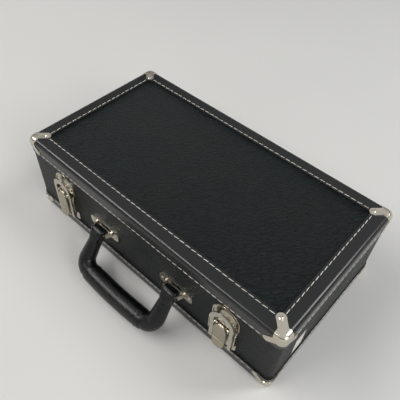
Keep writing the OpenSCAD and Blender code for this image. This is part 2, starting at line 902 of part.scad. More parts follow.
// The steel core, with an eye round each bracket bar
module handle_core() {
    color("#8a8a8a") placed() handle_pose() difference() {
        union() {
            handle_bar(core_r, core_r, core_r, 0);
            pivot_barrel(eye_r, eye_l);
        }
        pivot_barrel(bar_d / 2 + pin_gap, bar_l);
    }
}

// ---- hinges ----

knuckle_half = hinge_w / 6;

// Side slice of a hinge, drawn as [out, z], at the back
module back_slice(x0, x1) {
    translate([x0, cover_y, 0]) rotate([90, 0, 90]) linear_extrude(x1 - x0) children();
}

module hinge_leaf(side, is_lid) {
    clear = hinge_r + 0.3;
    k = is_lid ? 1 : -1;
    rim = is_lid ? lid_bottom : base_top;
    inner = knuckle_half - (is_lid ? knuckle_gap : 0);
    color("#c9c4b8") placed() difference() {
        translate([side * hinge_x, 0, 0]) difference() {
            union() {
                back_slice(-hinge_w / 2, hinge_w / 2) polygon([
                    [0, rim], [leaf_t, rim], [leaf_t, seam_z + k * leaf_h],
                    [0, seam_z + k * leaf_h]]);
                translate([-hinge_w / 2, cover_y + hinge_out, seam_z])
                    rotate([0, 90, 0]) cylinder(r = hinge_r, h = hinge_w);
            }
            // room for the other leaf's knuckles
            if (is_lid) for (s = [0, 1]) mirror([s, 0, 0])
                translate([inner, cover_y - over, seam_z - far / 2])
                    cube([hinge_w, 3 * hinge_r + over, far / 2 + clear]);
            else translate([-inner, cover_y - over, seam_z - clear])
                cube([2 * inner, 3 * hinge_r + over, far / 2]);
            translate([-hinge_w, cover_y + hinge_out, seam_z]) rotate([0, 90, 0])
                cylinder(d = hinge_pin_d + (is_lid ? 2 * pin_gap : 0), h = 2 * hinge_w);
        }
        hinge_rivet_places(is_lid) shank_hole(plate_shank(leaf_t));
    }
}

module hinge_pin(side) {
    color("#d6d2c8") placed()
        translate([side * hinge_x - hinge_w / 2, cover_y + hinge_out, seam_z])
            rotate([0, 90, 0]) cylinder(d = hinge_pin_d, h = hinge_w);
}

module hinge_rivets(is_lid) {
    color("#d6d2c8") placed() hinge_rivet_places(is_lid)
        domed(rivet_d - 0.8, rivet_h, plate_shank(leaf_t));
}

// ---- the sub-parts ----

flat_board(false);  // base_bottom_board
long_board(false, -1);  // base_front_board
long_board(false, 1);  // base_back_board
short_board(false, -1);  // base_left_board
short_board(false, 1);  // base_right_board
covering(false);  // base_covering
binding(false);  // base_binding
corner_cap(false, -1, -1);  // base_corner_front_left
corner_cap(false, 1, -1);  // base_corner_front_right
corner_cap(false, -1, 1);  // base_corner_back_left
corner_cap(false, 1, 1);  // base_corner_back_right
corner_tacks(false);  // base_corner_tacks
foam_floor_pad();
foam_tray_rim();
foam_dividers();
blank_label();
flat_board(true);  // lid_top_board
long_board(true, -1);  // lid_front_board
long_board(true, 1);  // lid_back_board
short_board(true, -1);  // lid_left_board
short_board(true, 1);  // lid_right_board
covering(true);  // lid_covering
binding(true);  // lid_binding
corner_cap(true, -1, -1);  // lid_corner_front_left
corner_cap(true, 1, -1);  // lid_corner_front_right
corner_cap(true, -1, 1);  // lid_corner_back_left
corner_cap(true, 1, 1);  // lid_corner_back_right
corner_tacks(true);  // lid_corner_tacks
lid_foam();
latch_base(-1);  // left_latch_base
latch_base(1);  // right_latch_base
latch_base_rivets();
lever_pin(-1);  // left_lever_pin
lever_pin(1);  // right_lever_pin
lever(-1);  // left_lever
lever(1);  // right_lever
hasp(-1);  // left_hasp
hasp(1);  // right_hasp
hasp_pin(-1);  // left_hasp_pin
hasp_pin(1);  // right_hasp_pin
catch_plate(-1);  // left_catch_plate
catch_plate(1);  // right_catch_plate
catch_rivets();
handle_bracket(-1);  // left_handle_bracket
handle_bracket(1);  // right_handle_bracket
handle_bracket_rivets();
handle_cover();
handle_core();
hinge_leaf(-1, false);  // left_hinge_base_leaf
hinge_leaf(1, false);  // right_hinge_base_leaf
hinge_rivets(false);  // hinge_base_rivets
hinge_leaf(-1, true);  // left_hinge_lid_leaf
hinge_leaf(1, true);  // right_hinge_lid_leaf
hinge_rivets(true);  // hinge_lid_rivets
hinge_pin(-1);  // left_hinge_pin
hinge_pin(1);  // right_hinge_pin
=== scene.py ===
"""Looks of the miniature carry case: grained covering, stitched binding, nickel
fittings, a wrapped handle and the foam inside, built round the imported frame."""

import json
import math

import bmesh
import bpy
from mathutils import Matrix, Vector, noise


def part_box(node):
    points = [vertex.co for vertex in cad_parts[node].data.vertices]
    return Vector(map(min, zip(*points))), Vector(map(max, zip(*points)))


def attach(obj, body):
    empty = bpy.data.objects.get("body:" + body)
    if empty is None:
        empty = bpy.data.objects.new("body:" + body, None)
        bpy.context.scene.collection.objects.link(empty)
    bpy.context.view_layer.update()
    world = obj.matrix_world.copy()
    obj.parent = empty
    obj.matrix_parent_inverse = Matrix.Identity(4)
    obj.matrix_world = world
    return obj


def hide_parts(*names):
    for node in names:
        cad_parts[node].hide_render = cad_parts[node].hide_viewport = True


MM = 0.001

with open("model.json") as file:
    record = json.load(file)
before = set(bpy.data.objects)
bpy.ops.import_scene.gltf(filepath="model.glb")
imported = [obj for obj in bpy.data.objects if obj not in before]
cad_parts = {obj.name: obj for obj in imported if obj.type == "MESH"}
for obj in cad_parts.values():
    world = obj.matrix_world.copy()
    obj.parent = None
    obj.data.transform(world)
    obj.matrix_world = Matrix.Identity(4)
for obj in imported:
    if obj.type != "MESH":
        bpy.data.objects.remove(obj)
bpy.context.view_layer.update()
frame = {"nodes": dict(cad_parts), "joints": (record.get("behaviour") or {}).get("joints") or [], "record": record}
nodes = frame["nodes"]
joints = {j["name"]: j for j in frame["joints"]}

# ---------------------------------------------------------------- measures

LID_LO, LID_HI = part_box("lid_binding")
CY = (LID_LO.y + LID_HI.y) / 2  # middle of the case, front to back
LX = (LID_HI.x - LID_LO.x) / 2  # half of the case's length
LY = (LID_HI.y - LID_LO.y) / 2  # half of its depth
TOP = LID_HI.z
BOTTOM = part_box("base_binding")[0].z
UP = Vector((0, 0, 1))

# ---------------------------------------------------------------- node trees

BLACK, WHITE = (0, 0, 0), (1, 1, 1)


class Nodes:
    """Short calls for building one material's node tree."""

    def __init__(self, name):
        self.mat = bpy.data.materials.new(name)
        self.mat.use_nodes = True
        self.tree = self.mat.node_tree
        self.shader = self.tree.nodes["Principled BSDF"]
        coords = self.tree.nodes.new("ShaderNodeTexCoord")
        self.place = coords.outputs["Object"]

    def add(self, kind, **values):
        """A node, with each value set as its property or else on its socket."""
        node = self.tree.nodes.new(kind)
        for key, value in values.items():
            if hasattr(node, key):
                setattr(node, key, value)
            else:
                node.inputs[key.replace("_", " ")].default_value = value
        return node

    def link(self, a, b):
        self.tree.links.new(a, b)

    def scaled(self, scale, turn=(0, 0, 0), of=None):
        node = self.add("ShaderNodeMapping")
        node.inputs["Scale"].default_value = scale
        node.inputs["Rotation"].default_value = turn
        self.link(of or self.place, node.inputs["Vector"])
        return node.outputs["Vector"]

    def noise(self, scale, detail, rough=0.5, at=None):
        node = self.add(
            "ShaderNodeTexNoise", Scale=scale, Detail=detail, Roughness=rough
        )
        self.link(at or self.place, node.inputs["Vector"])
        return node.outputs["Fac"]

    def warped(self, at, scale, amount):
        """Coordinates pushed about by noise, so that a pattern isn't regular."""
        node = self.add("ShaderNodeTexNoise", Scale=scale, Detail=2.0)
        self.link(at, node.inputs["Vector"])
        moved = self.add("ShaderNodeVectorMath", operation="MULTIPLY_ADD")
        self.link(node.outputs["Color"], moved.inputs[0])
        moved.inputs[1].default_value = (amount,) * 3
        self.link(at, moved.inputs[2])
        return moved.outputs["Vector"]

    def creases(self, scale, at, width):
        """0 along a net of creases, rising to 1 at a width as a share of a cell."""
        node = self.add("ShaderNodeTexVoronoi", feature="DISTANCE_TO_EDGE", Scale=scale)
        self.link(at, node.inputs["Vector"])
        edges = [(0.0, BLACK), (width, WHITE)]
        return self.ramp(node.outputs["Distance"], edges, smooth=True)

    def ramp(self, fac, stops, smooth=False):
        node = self.add("ShaderNodeValToRGB")
        if smooth:
            node.color_ramp.interpolation = "EASE"
        ends = node.color_ramp.elements
        while len(ends) < len(stops):
            ends.new(0.5)
        for end, (at, value) in zip(ends, stops):
            end.position = at
            end.color = value if len(value) == 4 else (*value, 1)
        self.link(fac, node.inputs["Fac"])
        return node.outputs["Color"]

    def span(self, fac, low, high, from_low=0.0, from_high=1.0):
        node = self.add("ShaderNodeMapRange")
        for key, value in (
            ("From Min", from_low),
            ("From Max", from_high),
            ("To Min", low),
            ("To Max", high),
        ):
            node.inputs[key].default_value = value
        self.link(fac, node.inputs["Value"])
        return node.outputs["Result"]

    def math(self, how, a, b):
        node = self.add("ShaderNodeMath", operation=how)
        for socket, value in zip(node.inputs, (a, b)):
            if isinstance(value, (int, float)):
                socket.default_value = value
            else:
                self.link(value, socket)
        return node.outputs[0]

    def plus(self, a, b, b_share):
        """a, and b times its share."""
        return self.math("ADD", a, self.math("MULTIPLY", b, b_share))

    def blend(self, a, a_share, b, b_share):
        """a and b, each times its share."""
        return self.plus(self.math("MULTIPLY", a, a_share), b, b_share)

    def bump(self, height, distance, strength=1.0, under=None):
        node = self.add("ShaderNodeBump")
        node.inputs["Strength"].default_value = strength
        node.inputs["Distance"].default_value = distance
        self.link(height, node.inputs["Height"])
        if under is not None:
            self.link(under, node.inputs["Normal"])
        return node.outputs["Normal"]

    def set(self, **values):
        """Constants on the shader's own sockets."""
        for key, value in values.items():
            self.shader.inputs[key.replace("_", " ")].default_value = value

    def wire(self, **outputs):
        """Outputs linked to the shader's own sockets."""
        for key, output in outputs.items():
            self.link(output, self.shader.inputs[key.replace("_", " ")])


def rgb(text):
    """Linear colour of an sRGB hex code."""
    values = [int(text[i : i + 2], 16) / 255 for i in (0, 2, 4)]
    return tuple(
        v / 12.92 if v <= 0.04045 else ((v + 0.055) / 1.055) ** 2.4 for v in values
    ) + (1,)


# ---------------------------------------------------------------- materials

WRINKLE_SLANT = math.radians(52)  # from the case's length
WRINKLE_STRETCH = (0.25, 1, 0.8)  # drawn out four times along the slant
WRINKLE_CELLS = 0.6  # wrinkles for each pebble, across the slant
WORN_ROUGHER = 0.08  # roughness that the cloudy patches add to the metal
WORN_SHADE = 0.86  # brightness of their colour, as a share
BRUSH_ROUGHER = 0.06  # roughness that the brushing adds


def vinyl(name, dark, light, cell, depth, rough, gloss, stretch=(1, 1, 1)):
    """Grained vinyl: a net of fine creases between flat pebbles, each a cell wide, with painted shade darkening
    the creases in the colour.
    """
    m = Nodes(name)
    pebble_at = m.warped(m.scaled(stretch), scale=240, amount=1.2 * MM)
    pebble = m.creases(1 / cell, pebble_at, width=0.2)
    # longer wrinkles that run slantwise through several pebbles
    slanted = m.scaled((1, 1, 1), turn=(0, 0, -WRINKLE_SLANT))
    long_at = m.warped(m.scaled(WRINKLE_STRETCH, of=slanted), scale=90, amount=2 * MM)
    wrinkle = m.creases(WRINKLE_CELLS / cell, long_at, width=0.12)
    fine = m.noise(scale=3200, detail=2)
    broad = m.noise(scale=14, detail=3)
    grain = m.blend(pebble, 0.4, wrinkle, 0.7)
    # the crease nets in grain also darken the colour: painted shade in the creases; the broad noise adds tone that
    # differs at random
    tone = m.blend(grain, 0.4, broad, 0.6)
    m.wire(
        Base_Color=m.ramp(tone, [(0.3, rgb(dark)), (0.85, rgb(light))]),
        Roughness=m.span(broad, rough - 0.05, rough + 0.07, 0.3, 0.7),
        Normal=m.bump(m.plus(grain, fine, 0.3), depth),
    )
    m.set(Specular_IOR_Level=gloss)
    return m.mat


def metal(name, colour, rough, brush=0.03 * MM):
    """Nickel plate: clean, with fine brushing, cloudy patches and faint dents."""
    m = Nodes(name)
    cloud = m.noise(scale=110, detail=4)
    dents = m.noise(scale=100, detail=2)
    brushed = m.noise(scale=1400, detail=2, at=m.scaled((0.06, 1, 1)))
    worn = tuple(WORN_SHADE * c for c in rgb(colour)[:3])
    patchy = m.span(cloud, rough, rough + WORN_ROUGHER, 0.35, 0.7)
    dented = m.bump(dents, 0.9 * MM, strength=0.5)
    m.wire(
        Base_Color=m.ramp(cloud, [(0.3, rgb(colour)), (0.75, worn)]),
        Roughness=m.plus(patchy, brushed, BRUSH_ROUGHER),
        Normal=m.bump(brushed, brush, strength=0.5, under=dented),
    )
    m.set(Metallic=1.0)
    return m.mat


def wood(name):
    """Thin light plywood: long grain, pores and soft colour bands."""
    m = Nodes(name)
    wavy = m.warped(m.scaled((5, 60, 60)), scale=2.0, amount=0.5)
    rings = m.noise(scale=1.6, detail=4, rough=0.6, at=wavy)
    pores = m.noise(scale=26, detail=2, rough=0.7, at=m.scaled((12, 190, 190)))
    tone = m.blend(rings, 0.75, pores, 0.25)
    m.wire(
        Base_Color=m.ramp(tone, [(0.3, rgb("a9814f")), (0.7, rgb("d2b07c"))]),
        Roughness=m.span(pores, 0.5, 0.75),
        Normal=m.bump(pores, 0.12 * MM, strength=0.6),
    )
    return m.mat


def foam(name, dark, light):
    """Open-cell foam: pores half a millimetre across, and a soft nap."""
    m = Nodes(name)
    cells = m.add("ShaderNodeTexVoronoi", Scale=1900)
    m.link(m.place, cells.inputs["Vector"])
    pores = cells.outputs["Distance"]
    lumps = m.noise(scale=240, detail=4)
    tone = m.blend(pores, 0.5, lumps, 0.6)
    m.wire(
        Base_Color=m.ramp(tone, [(0.25, rgb(light)), (0.75, rgb(dark))]),
        Normal=m.bump(m.plus(pores, lumps, 1.5), 0.4 * MM, strength=0.8),
    )
    m.set(Roughness=0.95, Specular_IOR_Level=0.2)
    m.set(Sheen_Weight=0.25, Sheen_Roughness=0.6)
    return m.mat


def thread(name):
    """Twisted cotton thread: a slanting ply along each stitch, a little soiled."""
    m = Nodes(name)
    ply = m.add("ShaderNodeTexWave", Scale=520, Distortion=1.5, Detail=1.0)
    m.link(m.scaled((1, 1, 1), turn=(0.3, 0.5, 0.7)), ply.inputs["Vector"])
    soil = m.noise(scale=120, detail=3)
    m.wire(
        Base_Color=m.ramp(soil, [(0.3, rgb("f6f4ec")), (0.75, rgb("dcd7ca"))]),
        Normal=m.bump(ply.outputs["Fac"], 0.12 * MM, strength=0.7),
    )
    m.set(Roughness=0.8)
    return m.mat


def paper(name):
    """Plain matt paper with a faint fibre."""
    m = Nodes(name)
    fibre = m.noise(scale=700, detail=4, rough=0.7, at=m.scaled((1, 1, 0.4)))
    m.wire(
        Base_Color=m.ramp(fibre, [(0.3, rgb("dcd9d0")), (0.7, rgb("ece9e1"))]),
        Normal=m.bump(fibre, 0.04 * MM, strength=0.5),
    )
    m.set(Roughness=0.7)
    return m.mat


MATERIALS = {
    "covering": vinyl(
        "covering_vinyl",
        dark="0c1212",
        light="1b2424",
        cell=1.9 * MM,
        depth=1.8 * MM,
        rough=0.33,
        gloss=0.2,
        stretch=(0.75, 1, 1),
    ),
    "binding": vinyl(
        "binding_vinyl",
        dark="08090a",
        light="0f1112",
        cell=0.9 * MM,
        depth=0.02 * MM,
        rough=0.22,
        gloss=0.52,
    ),
    "handle_cover": vinyl(
        "handle_vinyl",
        dark="030404",
        light="090b0c",
        cell=1.6 * MM,
        depth=0.1 * MM,
        rough=0.18,
        gloss=0.38,
    ),
    "nickel": metal("nickel_plate", "cfc8ba", rough=0.17),
    "lever_nickel": metal("lever_nickel", "b3ab98", rough=0.27, brush=0.12 * MM),
    "fastener": metal("nickel_heads", "d2ccbf", rough=0.2),
    "pin_steel": metal("pin_steel", "c6c1b6", rough=0.24),
    "steel": metal("core_steel", "a8a8a4", rough=0.35),
    "wood": wood("board_wood"),
    "foam": foam("case_foam", dark="26272a", light="3b3c40"),
    "paper": paper("label_paper"),
    "thread": thread("stitch_thread"),
}
SOFT_EDGE = 0.25 * MM  # bevel on the sharp edges of metal and binding
SHARP = math.radians(40)


def slot_of(node):
    return next(
        s["material_slot"] for s in frame["record"]["subparts"] if s["node"] == node
    )


def dress(obj, material):
    obj.data.materials.clear()
    obj.data.materials.append(MATERIALS[material])


for name, obj in nodes.items():
    dress(obj, "lever_nickel" if name.endswith("_lever") else slot_of(name))
    if slot_of(name) in ("nickel", "binding"):
        bevel = obj.modifiers.new("soft_edges", "BEVEL")
        bevel.width = SOFT_EDGE
        bevel.segments = 2
        bevel.limit_method = "ANGLE"
        bevel.angle_limit = SHARP

# ---------------------------------------------------------------- mesh helpers

WELD = 0.01 * MM


def mesh_object(name, verts, faces, material, body):
    """A smooth mesh that rides a body, with its material."""
    mesh = bpy.data.meshes.new(name)
    mesh.from_pydata([tuple(v) for v in verts], [], faces)
    mesh.validate()
    mesh.polygons.foreach_set("use_smooth", [True] * len(mesh.polygons))
    obj = bpy.data.objects.new(name, mesh)
    bpy.context.scene.collection.objects.link(obj)
    mesh.materials.append(MATERIALS[material])
    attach(obj, body)
    return obj


def tidy(obj):
    """Welds doubled points and turns every face outwards."""
    bm = bmesh.new()
    bm.from_mesh(obj.data)
    bmesh.ops.remove_doubles(bm, verts=bm.verts, dist=WELD)
    bmesh.ops.dissolve_degenerate(bm, edges=bm.edges, dist=WELD)
    bmesh.ops.recalc_face_normals(bm, faces=bm.faces)
    bm.to_mesh(obj.data)
    bm.free()


def rings_mesh(rings):
    """Points and faces of a closed tube through rings laid one after the other."""
    n = len(rings[0])
    verts = [p for ring in rings for p in ring]
    faces = []
    for i in range(len(rings) - 1):
        for j in range(n):
            k = (j + 1) % n
            faces.append((i * n + j, i * n + k, (i + 1) * n + k, (i + 1) * n + j))
    faces.append(tuple(reversed(range(n))))
    faces.append(tuple(range((len(rings) - 1) * n, len(rings) * n)))
    return verts, faces


# ---------------------------------------------------------------- stitching

STITCH_SHARE = 0.92  # of the pitch that a stitch covers
STITCH_W = 0.68 * MM
STITCH_H = 0.4 * MM
STITCH_SLANT = math.radians(4)
STITCH_SWAY = math.radians(2.5)  # most that one stitch differs in its slant
SWAY_STEP = 1.7  # from stitch to stitch through the noise that sways them
STITCH_THICK = 0.6  # half of the strand's thickness, as a share of STITCH_H
STITCH_LIFT = 0.35  # how far its middle stands off, as a share of STITCH_H
STITCH_DIP = 0.9  # how far its ends drop from there, the same way
STITCH_TIP = 0.02  # square of the ends' width, as a share of the middle's
STITCH_STEPS = 8
STITCH_AROUND = 8

TOP_STITCH_IN = 14 * MM
SIDE_STITCH_DOWN = 14.6 * MM
BASE_STITCH_UP = 13.2 * MM
UNDER_SUNK = 0.3 * MM  # the case stands on the binding that the lowest rows hold
TOP_PITCH = 7 * MM
SIDE_PITCH = 6.55 * MM
CAP_CLEAR = 19.6 * MM  # where a row on the top stops short of a corner's strap
EAR_CLEAR = 20.5 * MM  # the same on the sides


class Stitches:
    """Collects the stitches of one thread into one mesh."""

    def __init__(self):
        self.verts, self.faces, self.count = [], [], 0

    def add(self, middle, along, out, length):
        """One stitch: a bent, tapered strand whose ends dip into their holes."""
        self.count += 1
        along, out = along.normalized(), out.normalized()
        side = out.cross(along)
        sway = STITCH_SWAY * noise.noise(Vector((self.count * SWAY_STEP, 0.3, 0.9)))
        turn = Matrix.Rotation(STITCH_SLANT + sway, 3, out)
        along, side = turn @ along, turn @ side
        rings = []
        for i in range(STITCH_STEPS + 1):
            t = 2 * i / STITCH_STEPS - 1
            r = math.sqrt(max(1 - abs(t) ** 3, STITCH_TIP))
            lift = (STITCH_LIFT - STITCH_DIP * t**4) * STITCH_H
            mid = middle + along * (t * length / 2) + out * lift
            ring = []
            for j in range(STITCH_AROUND):
                a = 2 * math.pi * j / STITCH_AROUND
                ring.append(
                    mid
                    + side * (math.cos(a) * STITCH_W / 2 * r)
                    + out * (math.sin(a) * STITCH_H * STITCH_THICK * r)
                )
            rings.append(ring)
        verts, faces = rings_mesh(rings)
        base = len(self.verts)
        self.verts += verts
        self.faces += [tuple(base + k for k in f) for f in faces]

    def row(self, start, end, out, pitch):
        """Stitches at an even pitch from one point to another."""
        start, out = Vector(start), Vector(out)
        run = Vector(end) - start
        n = max(1, round(run.length / pitch))
        for i in range(n):
            self.add(start + run * ((i + 0.5) / n), run, out, STITCH_SHARE * pitch)

    def finish(self, name, body):
        return mesh_object(name, self.verts, self.faces, "thread", body)


def stitch_ring_flat(threads, z, out):
    """The four rows on the top, or on the underside."""
    x, y = LX - TOP_STITCH_IN, LY - TOP_STITCH_IN
    ex, ey = LX - CAP_CLEAR, LY - CAP_CLEAR
    for s in (-1, 1):
        for start, end in (
            ((-s * ex, CY + s * y, z), (s * ex, CY + s * y, z)),
            ((s * x, CY + s * ey, z), (s * x, CY - s * ey, z)),
        ):
            threads.row(start, end, out, TOP_PITCH)


def stitch_ring_sides(threads, z):
    """The four rows round the sides."""
    ex, ey = LX - EAR_CLEAR, LY - EAR_CLEAR
    for s in (-1, 1):
        for start, end, out in (
            ((-s * ex, CY + s * LY, z), (s * ex, CY + s * LY, z), (0, s, 0)),
            ((s * LX, CY + s * ey, z), (s * LX, CY - s * ey, z), (s, 0, 0)),
        ):
            threads.row(start, end, out, SIDE_PITCH)


lid_threads = Stitches()
stitch_ring_flat(lid_threads, TOP, UP)
stitch_ring_sides(lid_threads, TOP - SIDE_STITCH_DOWN)
lid_threads.finish("lid_stitching", "case_lid")
base_threads = Stitches()
stitch_ring_flat(base_threads, BOTTOM + UNDER_SUNK, -UP)
stitch_ring_sides(base_threads, BOTTOM + BASE_STITCH_UP)
base_threads.finish("base_stitching", "case_base")

# ---------------------------------------------------------------- handle

PIVOT = Vector(joints["handle_swing"]["pos_m"])
REACH = 42.5 * MM  # from the pivot to the middle of the grip
BAR_X = 50.6 * MM  # from the case's middle to each arm
SLEEVE_HALF = 7.7 * MM  # half of the sleeve's width along the bracket's bar
SLEEVE_R = 6.3 * MM
SLEEVE_TIP = 0.4 * MM  # least half thickness, where the sleeve closes
SLEEVE_SQUARE = 3.5  # added to ROUND at the sleeve
ROUND = 2.0  # power of a round cross-section; more is squarer
NECK_R = 7.1 * MM
NECK_END = 9.5 * MM
ELBOW_THICK = 9.3 * MM
ELBOW_R = 12.6 * MM
ELBOW_TURN = math.radians(86)
GRIP_R = 10.4 * MM
GRIP_LEAD = 2 * MM  # how far before the grip's start the handle begins to thicken
GRIP_RISE = 6 * MM  # the length over which it does
# place after the grip's start, width and height of each seam ring: a groove, the
# raised edge of the grip's wrap, and a shallow groove on the grip
SEAMS = (
    (-2.4 * MM, 0.8 * MM, -0.6 * MM),
    (-0.4 * MM, 1.0 * MM, 0.55 * MM),
    (6.8 * MM, 0.6 * MM, -0.4 * MM),
)
CREASE_H = 0.16 * MM  # creases on the inside of each bend
CREASE_WAVE = 0.62 * MM
CREASE_REACH = 8 * MM  # how far from the bend's middle they die away
LUMP_H = 0.05 * MM  # unevenness of the vinyl over the core
LUMP_SCALE = 140
HANDLE_STEP = 0.9 * MM
HANDLE_AROUND = 40
HANDLE_REST = 0.6 * MM  # between the lowered grip and the surface below it
DROOP = math.asin((PIVOT.z - BOTTOM - GRIP_R - HANDLE_REST) / REACH)


def ease(t):
    """0 to 1 with soft ends."""
    t = min(max(t, 0), 1)
    return t * t * (3 - 2 * t)


def handle_path():
    """Middle line of half the handle in its own plane, from the sleeve's end.

    Each point is (x, reach, heading, length). Gives also the lengths at which the
    arm ends and the grip starts.
    """
    bow = math.pi / 2 - ELBOW_TURN
    elbow_x = BAR_X - ELBOW_R
    bow_r = (elbow_x + ELBOW_R * math.cos(ELBOW_TURN)) / math.sin(bow)
    grip_reach = REACH - bow_r * (1 - math.cos(bow))
    arm_end = grip_reach - ELBOW_R * math.sin(ELBOW_TURN)
    grip_start = arm_end + ELBOW_R * ELBOW_TURN
    points = []
    n = round((arm_end + SLEEVE_R) / HANDLE_STEP)
    for i in range(n):
        s = -SLEEVE_R + (arm_end + SLEEVE_R) * i / n
        points.append((BAR_X, s, 0.0, s))
    n = round(ELBOW_R * ELBOW_TURN / HANDLE_STEP)
    for i in range(n):
        a = ELBOW_TURN * i / n
        x, s = elbow_x + ELBOW_R * math.cos(a), arm_end + ELBOW_R * math.sin(a)
        points.append((x, s, a, arm_end + ELBOW_R * a))
    n = round(bow_r * bow / HANDLE_STEP)
    for i in range(n + 1):
        a = ELBOW_TURN + bow * i / n
        x, s = bow_r * math.cos(a), REACH - bow_r + bow_r * math.sin(a)
        points.append((x, s, a, grip_start + bow_r * bow * i / n))
    return points, arm_end, grip_start


def handle_section(length, elbow, grip_start):
    """Half widths across and upwards, and the power, of one cross-section."""
    if length < NECK_END:
        t = ease(length / NECK_END)
        rx = SLEEVE_HALF + (NECK_R - SLEEVE_HALF) * t
        rz = SLEEVE_R + (NECK_R - SLEEVE_R) * t
        if length < 0:
            rz = math.sqrt(max(SLEEVE_R**2 - length**2, SLEEVE_TIP**2))
        return rx, rz, ROUND + SLEEVE_SQUARE * (1 - t)
    t = min((length - NECK_END) / (elbow - NECK_END), 1)
    r = NECK_R + (ELBOW_THICK - NECK_R) * t
    r += (GRIP_R - ELBOW_THICK) * ease((length - grip_start + GRIP_LEAD) / GRIP_RISE)
    for place, width, height in SEAMS:
        r += height * math.exp(-(((length - (grip_start + place)) / width) ** 2))
    return r, r, ROUND


def build_handle():
    half, arm_end, grip_start = handle_path()
    elbow = (arm_end + grip_start) / 2
    # the other half is the mirror of this one
    mirrored = [(-x, s, math.pi - a, length) for x, s, a, length in half[-2::-1]]
    rings = []
    for x, s, a, length in half + mirrored:
        across = Vector((math.cos(a), math.sin(a), 0))
        rx, rz, power = handle_section(length, elbow, grip_start)
        bend = math.exp(-(((length - elbow) / CREASE_REACH) ** 2))
        ring = []
        for j in range(HANDLE_AROUND):
            b = 2 * math.pi * j / HANDLE_AROUND
            c, d = math.cos(b), math.sin(b)
            px = math.copysign(abs(c) ** (2 / power), c) * rx
            pz = math.copysign(abs(d) ** (2 / power), d) * rz
            crease = CREASE_H * bend * max(-c, 0) * math.sin(length / CREASE_WAVE)
            lump = LUMP_H * noise.noise(Vector((x, s, pz)) * LUMP_SCALE)
            px *= 1 + (crease + lump) / rx
            ring.append(Vector((x, s, 0)) + across * px + UP * pz)
        rings.append(ring)
    verts, faces = rings_mesh(rings)
    place = (
        Matrix.Translation(PIVOT)
        @ Matrix.Rotation(DROOP, 4, "X")
        @ Matrix.Scale(-1, 4, Vector((0, 1, 0)))
    )
    verts = [place @ v for v in verts]
    obj = mesh_object(
        "handle_wrap", verts, faces, "handle_cover", "handle"
    )
    tidy(obj)
    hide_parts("handle_cover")


build_handle()

# ---------------------------------------------------------------- foam

SLOTS_X, SLOTS_Y = 7, 2
DIVIDER = 7 * MM
SLOT_R = 4 * MM  # rounding of each slot's corners, seen from above
BLOCK_R = 2 * MM  # the same on the outline of the tray and the pad
CORNER_STEPS = 6
FOAM_EDGE = 0.8 * MM  # rounding of the cut edges
PAD_LOW = 0.2 * MM  # how far the floor pad stays under the top of its CAD block
EGG_STEP = 2.6 * MM
EGG_PEAK = 5 * MM
EGG_WAVE = 26 * MM
EGG_OFF = 0.3 * MM  # between the lowest peak and the CAD block's face
EGG_ROUGH, EGG_ROUGH_SCALE = 0.25 * MM, 300


def rounded(lo, hi, r):
    """Corner points of a rounded rectangle, anticlockwise."""
    pts = []
    for cx, cy, a0 in (
        (hi[0] - r, hi[1] - r, 0),
        (lo[0] + r, hi[1] - r, 90),
        (lo[0] + r, lo[1] + r, 180),
        (hi[0] - r, lo[1] + r, 270),
    ):
        for i in range(CORNER_STEPS + 1):
            a = math.radians(a0 + 90 * i / CORNER_STEPS)
            pts.append((cx + r * math.cos(a), cy + r * math.sin(a)))
    return pts


def slab(name, outlines, z0, z1, material, body):
    """A slab with holes: filled outlines, extruded, with rounded edges."""
    curve = bpy.data.curves.new(name, "CURVE")
    curve.dimensions = "2D"
    curve.fill_mode = "BOTH"
    curve.extrude = (z1 - z0) / 2 - FOAM_EDGE
    curve.bevel_depth = FOAM_EDGE
    curve.bevel_resolution = 2
    curve.offset = -FOAM_EDGE
    for points in outlines:
        line = curve.splines.new("POLY")
        line.points.add(len(points) - 1)
        for p, (x, y) in zip(line.points, points):
            p.co = (x, y, 0, 1)
        line.use_cyclic_u = True
    temp = bpy.data.objects.new(name + "_curve", curve)
    bpy.context.scene.collection.objects.link(temp)
    temp.location.z = (z0 + z1) / 2
    bpy.context.view_layer.update()
    graph = bpy.context.evaluated_depsgraph_get()
    mesh = bpy.data.meshes.new_from_object(temp.evaluated_get(graph))
    mesh.transform(temp.matrix_world)
    bpy.data.objects.remove(temp)
    bpy.data.curves.remove(curve)
    obj = bpy.data.objects.new(name, mesh)
    bpy.context.scene.collection.objects.link(obj)
    dress(obj, material)
    tidy(obj)
    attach(obj, body)
    return obj


def build_tray():
    lo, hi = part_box("foam_tray_rim")
    slot_x = (hi.x - lo.x - (SLOTS_X + 1) * DIVIDER) / SLOTS_X
    slot_y = (hi.y - lo.y - (SLOTS_Y + 1) * DIVIDER) / SLOTS_Y
    outlines = [rounded(lo, hi, BLOCK_R)]
    for i in range(SLOTS_X):
        for j in range(SLOTS_Y):
            x = lo.x + DIVIDER + i * (slot_x + DIVIDER)
            y = lo.y + DIVIDER + j * (slot_y + DIVIDER)
            hole = rounded((x, y), (x + slot_x, y + slot_y), SLOT_R)
            outlines.append(hole[::-1])
    tray = slab("foam_tray", outlines, lo.z, hi.z, "foam", "case_base")
    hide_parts("foam_tray_rim", "foam_dividers")


def build_floor_pad():
    lo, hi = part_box("foam_floor_pad")
    outline = rounded(lo, hi, BLOCK_R)
    pad = slab("foam_pad", [outline], lo.z, hi.z - PAD_LOW, "foam", "case_base")
    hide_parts("foam_floor_pad")


